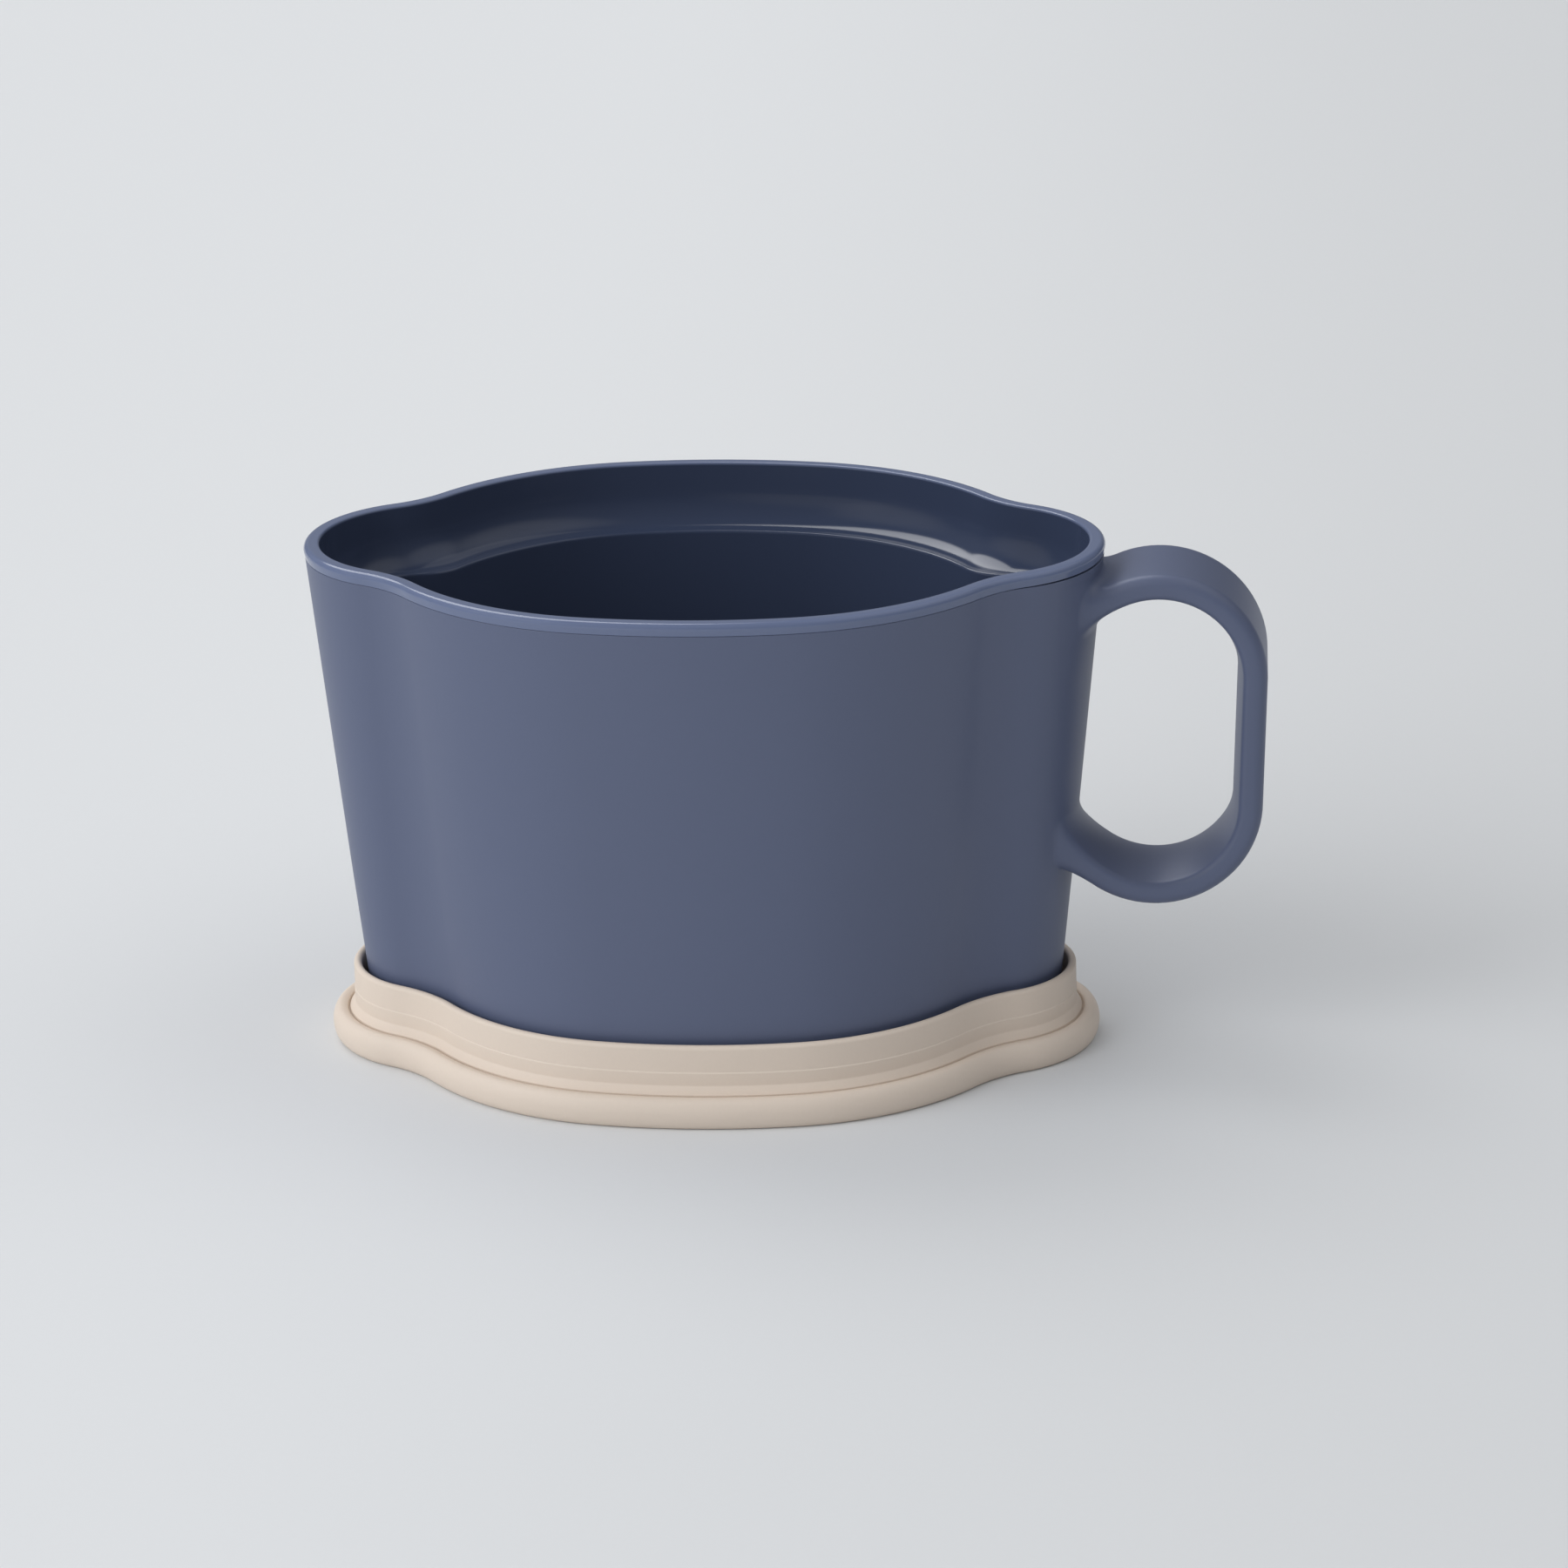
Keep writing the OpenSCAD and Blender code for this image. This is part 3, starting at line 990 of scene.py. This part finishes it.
@dataclass
class Liner(Piece):
    """Inner wall of the mug: lip, upper wall, ledge for the lid's skirt, and well.

    Attributes:
        wall: Thickness of the liner.
        shell_wall: Thickness of the shell that the lip covers.
        gap: Joint between the two walls.
        lip_height: Height of the lip.
        lip_round: Radius along the outside of the lip.
        lip_inner_round: Radius along the inside of the lip.
        lip_under_round: Radius along the lip's lower edge.
        ledge_depth: Depth of the ledge's edge below the rim.
        cove: Height of the cove in which the upper wall runs out into the ledge.
        ledge_round: Radius along the ledge's edge.
        ledge_end: Width of the ledge at the narrow ends.
        ledge_side: Width of the ledge at the sides.
        well_radii: Radii of the well's ends, waists, shoulders and bellies.
        well_draft: How far the well leans in for each millimetre down.
        well_floor_round: Radius between the well's wall and floor.
        floor_gap: Air gap between the two floors.
        shell_recess: Depth of the recess in the shell's foot.
    """

    wall: float = 1.3
    shell_wall: float = 1.4
    gap: float = 0.12
    lip_height: float = 2.2
    lip_round: float = 1.0
    lip_inner_round: float = 0.5
    lip_under_round: float = 0.12
    ledge_depth: float = 11.0
    cove: float = 6.0
    ledge_round: float = 0.5
    ledge_end: float = 3.0
    ledge_side: float = 4.9
    well_radii: tuple[float, float, float, float] = (13.6, 9.0, 44.5, 86.0)
    well_draft: float = 0.075
    well_floor_round: float = 5.0
    floor_gap: float = 3.0
    shell_recess: float = 0.8

    # The cove's outside starts this much lower than its inside
    COVE_SHIFT: ClassVar[float] = 0.5
    COVE_CUTS: ClassVar[int] = 12
    # Flat strip inside the floor's round, less than what is left of the end's radius there
    FLOOR_STRIP: ClassVar[float] = 2.0
    # A face that leans outwards more than this lies outside the mouth
    OUTWARD: ClassVar[float] = 0.05

    NAME: ClassVar[str] = "mug_liner"
    BODY: ClassVar[Body] = Body.MUG
    NODE: ClassVar[Node] = Node.LINER
    SLOT: ClassVar[Slot] = Slot.LINER
    FINISH: ClassVar[MouldedPlastic] = GLOSS_LINER

    def well(self) -> Outline:
        """Outline of the well at the ledge.

        Returns:
            The outline in millimetres.
        """
        form = self.form
        inside = self.shell_wall + self.gap + self.wall
        shrink = form.wall(form.rim_z - self.ledge_depth) - inside
        return Outline(form.rim.half_length + shrink - self.ledge_end,
                       form.rim.half_width + shrink - self.ledge_side, *self.well_radii)

    def well_heights(self) -> tuple[float, float, float, float]:
        """Heights along the well.

        Returns:
            The ledge, the top of the well's wall, the floor's underside and the floor.
        """
        form = self.form
        ledge = form.rim_z - self.ledge_depth
        under_floor = form.foot_z + self.shell_recess + self.shell_wall + self.floor_gap
        return ledge, ledge - self.ledge_round, under_floor, under_floor + self.wall

    def lip_section(self, bm: BMesh) -> Trace:
        """Draw the section from the cove's outside over the lip to its inside.

        Args:
            bm: The mesh to draw in.

        Returns:
            The drawn chain.
        """
        form = self.form
        rim = form.rim_z
        lip = rim - self.lip_height
        cove_z = rim - self.ledge_depth + self.cove
        spigot = self.shell_wall + self.gap
        inside = spigot + self.wall
        r, s, u = self.lip_round, self.lip_inner_round, self.lip_under_round
        trace = Trace(bm, form.outer(cove_z - self.COVE_SHIFT, -spigot))
        trace.line(form.outer(lip, -spigot), 2)
        trace.line(form.outer(lip, -u))
        trace.arc(form.outer(lip + u, -u), -90)
        trace.line(form.at(0.0, rim - r))
        trace.arc(form.at(-r, rim - r), -90, 10)
        trace.line(form.at(s - inside, rim))
        trace.arc(form.at(s - inside, rim - s), -90)
        trace.even_line(form.outer(cove_z, -inside), 4)
        return trace

    def well_section(self, bm: BMesh, outline: Outline) -> Trace:
        """Draw the section from the ledge down the well, round its floor and back up outside.

        Args:
            bm: The mesh to draw in.
            outline: The well's outline.

        Returns:
            The drawn chain.
        """
        at, r = outline.at, self.well_floor_round
        ledge, top, _, floor = self.well_heights()
        turn_z = floor + r
        foot = -self.well_draft * (top - turn_z)
        trace = Trace(bm, at(self.ledge_round, ledge))
        trace.arc(at(self.ledge_round, top), -90)
        trace.line(at(foot, turn_z), 14)
        trace.arc(at(foot - r, turn_z), 90, 10)
        trace.line(at(foot - r - self.FLOOR_STRIP, floor))
        return trace

    def well_outside(self, bm: BMesh, outline: Outline) -> Trace:
        """Draw the outside of the well from its floor up to the ledge's underside.

        Args:
            bm: The mesh to draw in.
            outline: The well's outline.

        Returns:
            The drawn chain.
        """
        at, r = outline.at, self.well_floor_round
        ledge, top, under_floor, floor = self.well_heights()
        turn_z = floor + r
        foot = -self.well_draft * (top - turn_z)
        trace = Trace(bm, at(foot - r - self.FLOOR_STRIP, under_floor))
        trace.line(at(foot - r, under_floor))
        trace.arc(at(foot - r, turn_z), -90, 10)
        trace.line(at(self.wall, ledge - self.wall), 8)
        return trace

    @staticmethod
    def cove_corner(wall: BMVert, ledge: BMVert, way: Vector, _: Vector) -> Vector:
        """Place at the ledge's height on the way of the upper wall."""
        return wall.co + way * ((ledge.co.z - wall.co.z) / way.z)

    def build(self, bm: BMesh) -> None:
        """Sweep lip and well round their own outlines and join them by the cove.

        Args:
            bm: An empty mesh, filled in millimetres.
        """
        outline = self.well()
        lip = self.lip_section(bm)
        self.form.rim.carry(bm, lip.edges())
        well = self.well_section(bm, outline)
        outline.carry(bm, well.edges())
        outside = self.well_outside(bm, outline)
        outline.carry(bm, outside.edges())
        unfold(bm)
        ledge = self.form.rim_z - self.ledge_depth
        cove = ledge + self.cove
        for upper, lower in ((cove, ledge), (cove - self.COVE_SHIFT, ledge - self.wall)):
            soft_bridge(bm, open_rim(bm, upper), open_rim(bm, lower), self.COVE_CUTS, self.cove_corner)
        seal(bm)
        self.mark_painted_shade(bm)

    def mark_painted_shade(self, bm: BMesh) -> None:
        """Mark where the painted shade lies inside the mouth, from 0 on the lip to 1 below its inner round.

        Args:
            bm: The finished liner, which gets the attribute.
        """
        shade_mask = bm.verts.layers.float.new(PAINTED_SHADE_MASK)
        bm.normal_update()
        for vert in bm.verts:
            outward = vert.normal.xy.dot(vert.co.xy) > self.OUTWARD * vert.co.xy.length
            below = (self.form.rim_z - vert.co.z) / self.lip_inner_round
            vert[shade_mask] = 0.0 if outward else min(below, 1.0)


@dataclass
class Lid(Piece):
    """Lid with a plug skirt and a rolled edge, turned over as the mug's stand.

    Attributes:
        plate: Thickness of the plate.
        skirt_wall: Thickness of the skirt.
        seat_gap: Room between the skirt's edge and the mug.
        seat_round: Radius between the plate and the skirt's inside.
        relief: Depth of the fine step along the skirt's outside.
        relief_z: Height of that step.
        step_height: Height of the step at the skirt's foot.
        step_width: Width of that step.
        roll_height: Height of the rolled edge.
        roll_middle: Height of its widest line.
        roll_inset: How far that line lies inside the rim's outline.
        roll_tuck: How far the underside draws in.
        groove_depth: Depth of the groove between rolled edge and step.
        groove_round: Radius at the bottom of the groove.
        small_round: Radius along the small edges.
    """

    plate: float = 2.2
    skirt_wall: float = 1.6
    seat_gap: float = 0.7
    seat_round: float = 2.2
    relief: float = 0.08
    relief_z: float = 9.2
    step_height: float = 1.0
    step_width: float = 0.9
    roll_height: float = 5.6
    roll_middle: float = 2.9
    roll_inset: float = 1.25
    roll_tuck: float = 1.4
    groove_depth: float = 0.9
    groove_round: float = 0.25
    small_round: float = 0.25

    # Flat strip with which a section ends inside the plate
    FLOOR_STRIP: ClassVar[float] = 8.0

    NAME: ClassVar[str] = "stand_lid"
    BODY: ClassVar[Body] = Body.STAND
    NODE: ClassVar[Node] = Node.LID
    SLOT: ClassVar[Slot] = Slot.LID
    FINISH: ClassVar[MouldedPlastic] = MATTE_LID

    def section(self, bm: BMesh) -> list[BMEdge]:
        """Draw the section from the plate's underside round the roll and skirt to the seat.

        Args:
            bm: The mesh to draw in.

        Returns:
            The section's edges.
        """
        form = self.form
        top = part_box(Node.LID.value)[1].z / MM
        skirt_in = form.wall(top) + self.seat_gap
        skirt_out = skirt_in + self.skirt_wall
        edge = self.skirt_wall / 2
        step_out = skirt_out + self.step_width
        roll_in = (step_out - self.roll_inset) / 2
        tuck_in = -self.roll_inset - self.roll_tuck
        groove = self.roll_height - self.groove_depth
        r, g = self.small_round, self.groove_round
        trace = Trace(bm, form.at(tuck_in - self.FLOOR_STRIP, 0.0))
        trace.line(form.at(tuck_in, 0.0))
        trace.arc(form.at(tuck_in, self.roll_middle), -90, 10, wide=self.roll_tuck / self.roll_middle)
        roll_rise = self.roll_height - self.roll_middle
        roll_wide = -self.roll_inset - roll_in
        trace.arc(form.at(roll_in, self.roll_middle), -90, 12, wide=roll_wide / roll_rise)
        trace.arc(form.at(roll_in, groove + g), -60, 6,
                  wide=(roll_in - step_out - g) / (self.roll_height - groove - g))
        trace.line(form.at(step_out + g, groove))
        trace.arc(form.at(step_out + g, groove + g), 90, 5)
        trace.line(form.at(step_out, self.roll_height - r))
        trace.arc(form.at(step_out - r, self.roll_height - r), -50, 5)
        foot = self.roll_height + self.step_height
        trace.line(form.at(skirt_out + r, foot - r * 0.6))
        trace.line(form.at(skirt_out, foot + r))
        trace.line(form.at(skirt_out, self.relief_z), 2)
        trace.line(form.at(skirt_out - self.relief, self.relief_z + self.relief))
        trace.line(form.at(skirt_out - self.relief, top - edge), 2)
        trace.arc(form.at(skirt_out - edge, top - edge), -180, 14)
        trace.line(form.at(skirt_in, self.plate + self.seat_round), 4)
        trace.arc(form.at(skirt_in - self.seat_round, self.plate + self.seat_round), 90)
        trace.line(form.at(skirt_in - self.seat_round - self.FLOOR_STRIP, self.plate))
        return trace.edges()

    def build(self, bm: BMesh) -> None:
        """Sweep the section round the rim's outline and close the plate.

        Args:
            bm: An empty mesh, filled in millimetres.
        """
        self.form.rim.carry(bm, self.section(bm))
        unfold(bm)
        seal(bm)


@dataclass(frozen=True)
class Glow:
    """A soft patch of light in the room round the mug, as of a large diffuser.

    Attributes:
        azimuth: Where it stands in degrees: 0 is the handle's side, 90 behind, 180 the left.
        elevation: Its angle above the table in degrees.
        spread: Angle from its middle to its faded edge in degrees.
        brightness: Brightness of its middle, where 1 is white.
        core: Share of the spread that is fully bright.
        mirrored: How bright glossy faces show it, against its light on the others.
    """

    azimuth: float
    elevation: float
    spread: float
    brightness: float
    core: float = 0.3
    mirrored: float = 0.15

    def light(self, graph: Graph, way: Signal) -> Signal:
        """Brightness of the patch in a direction.

        Args:
            graph: The room's node tree.
            way: Direction of sight.

        Returns:
            The brightness, 0 outside the patch.
        """
        az, el = math.radians(self.azimuth), math.radians(self.elevation)
        middle = (math.cos(az) * math.cos(el), math.sin(az) * math.cos(el), math.sin(el))
        facing = graph.node("ShaderNodeVectorMath", {"operation": "DOT_PRODUCT"},
                            {0: way, 1: middle}, out="Value")
        edge, core = math.radians(self.spread), math.radians(self.spread * self.core)
        return graph.between(facing, math.cos(edge), math.cos(core), 0.0, self.brightness)


@dataclass(frozen=True)
class Viewpoint:
    """Camera at the photograph's viewing angle.

    Attributes:
        azimuth: Turn to the right from straight in front, in degrees.
        elevation: Angle above the table, in degrees.
        roll: Turn of the frame, in degrees.
        distance: Distance from the target in metres.
        target: Point at the frame's middle, in metres.
        focal_pixels: Focal length in pixels of the frame.
        frame_pixels: Width of the frame in pixels.
    """

    azimuth: float = 4.395
    elevation: float = 20.0
    roll: float = -1.238
    distance: float = 1.078
    target: tuple[float, float, float] = (0.013207, 0.0, 0.046963)
    focal_pixels: float = 7008.8
    frame_pixels: float = 1800.0

    SENSOR: ClassVar[float] = 36.0

    def place(self) -> None:
        """Add the camera and make it the scene's."""
        az, el = math.radians(self.azimuth), math.radians(self.elevation)
        back = Vector((math.sin(az) * math.cos(el), -math.cos(az) * math.cos(el), math.sin(el)))
        camera = bpy.data.cameras.new("viewpoint")
        camera.sensor_fit = "HORIZONTAL"
        camera.sensor_width = self.SENSOR
        camera.lens = self.SENSOR * self.focal_pixels / self.frame_pixels
        camera.clip_end = 50
        holder = bpy.data.objects.new("viewpoint", camera)
        turn = back.to_track_quat("Z", "Y").to_matrix().to_4x4()
        spot = Matrix.Translation(Vector(self.target) + back * self.distance)
        holder.matrix_world = spot @ turn @ Matrix.Rotation(math.radians(self.roll), 4, "Z")
        bpy.context.scene.collection.objects.link(holder)
        bpy.context.scene.camera = holder


@dataclass(frozen=True)
class Studio:
    """Pale floor, soft light and camera.

    Attributes:
        floor_colour: Colour of the paper floor.
        painted_floor_shade: How much painted shade darkens the paper towards the right, where the light
            falls off.
        floor_span: Where along X the painted shade starts and ends, in metres.
        floor_span: Where along X it starts and ends to darken, in metres.
        floor_reach: Half of the floor's width in metres.
        tint: Linear colour of the light.
        view: The camera.
        glows: The patches of light round the mug.
    """

    floor_colour: tuple[int, int, int] = (220, 222, 224)
    painted_floor_shade: float = 0.14
    floor_span: tuple[float, float] = (-0.1, 0.22)
    floor_reach: float = 4.0
    tint: tuple[float, float, float, float] = (0.985, 0.99, 1.0, 1.0)
    view: Viewpoint = Viewpoint()
    glows: tuple[Glow, ...] = (
        Glow(128, 54, 22, 1.5, core=0.75, mirrored=2.8), Glow(62, 52, 18, 0.45, core=0.7, mirrored=1.0),
        Glow(206, 30, 32, 3.3, mirrored=0.08), Glow(150, 30, 32, 0.8), Glow(240, 8, 32, 1.5),
        Glow(120, 8, 32, 0.6), Glow(90, 8, 32, 1.1), Glow(30, 30, 32, 0.5), Glow(330, 30, 32, 0.25),
        Glow(0, 55, 32, 0.8, mirrored=0.6), Glow(280, 70, 60, 0.7, mirrored=0.05),
    )

    # Width in millimetres of the paper's fibres, and how much they darken it
    FIBRE_WIDTH: ClassVar[float] = 1.2
    FIBRE: ClassVar[float] = 0.015

    def floor(self) -> None:
        """Lay the paper floor."""
        bm = bmesh.new()
        bmesh.ops.create_grid(bm, x_segments=2, y_segments=2, size=self.floor_reach)
        mesh = bpy.data.meshes.new("paper_floor")
        bm.to_mesh(mesh)
        bm.free()
        paper = bpy.data.materials.new("pale_paper")
        paper.use_nodes = True
        graph = Graph(paper.node_tree)
        place = graph.node("ShaderNodeTexCoord", out="Object")
        fibre = graph.noise(place, self.FIBRE_WIDTH, 3.0, 0.6)
        side = graph.node("ShaderNodeSeparateXYZ", None, {"Vector": place}, out="X")
        # Painted shade: the paper darkens towards the right as the light falls off, and its fibres darken
        # it a little
        fall = graph.between(side, *self.floor_span) * self.painted_floor_shade + fibre * self.FIBRE
        base = linear(self.floor_colour)
        shader = graph.node("ShaderNodeBsdfPrincipled", None,
                            {"Base Color": graph.blend(fall, base, (0.0, 0.0, 0.0, 1.0)), "Roughness": 0.9,
                             "Specular IOR Level": 0.2})
        graph.node("ShaderNodeOutputMaterial", None, {"Surface": shader})
        floor = bpy.data.objects.new("paper_floor", mesh)
        floor.data.materials.append(paper)
        bpy.context.scene.collection.objects.link(floor)

    def room(self) -> None:
        """Set the soft light of the room."""
        world = bpy.data.worlds.new("room")
        world.use_nodes = True
        graph = Graph(world.node_tree)
        way = graph.node("ShaderNodeTexCoord", out="Generated")
        glossy = graph.node("ShaderNodeLightPath", out="Is Glossy Ray")
        strength: Value = 0.0
        for glow in self.glows:
            strength = glow.light(graph, way) * (1.0 - glossy * (1.0 - glow.mirrored)) + strength
        light = graph.node("ShaderNodeBackground", None, {"Color": self.tint, "Strength": strength})
        graph.node("ShaderNodeOutputWorld", None, {"Surface": light})
        bpy.context.scene.world = world

    def set_up(self) -> None:
        """Lay the floor, light the room and place the camera."""
        bpy.context.scene.view_settings.view_transform = "Standard"
        self.floor()
        self.room()
        self.view.place()


def main() -> None:
    """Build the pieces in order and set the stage."""
    logging.basicConfig(level=logging.INFO, format="%(name)s: %(message)s")
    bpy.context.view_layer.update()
    form = Form.from_frame()
    for piece in (Lid(form), OuterShell(form), Liner(form)):
        made = piece.make()
        LOG.info("%s rides on %s", made.name, piece.BODY.value)
    Studio().set_up()


if __name__ == "__main__":
    main()
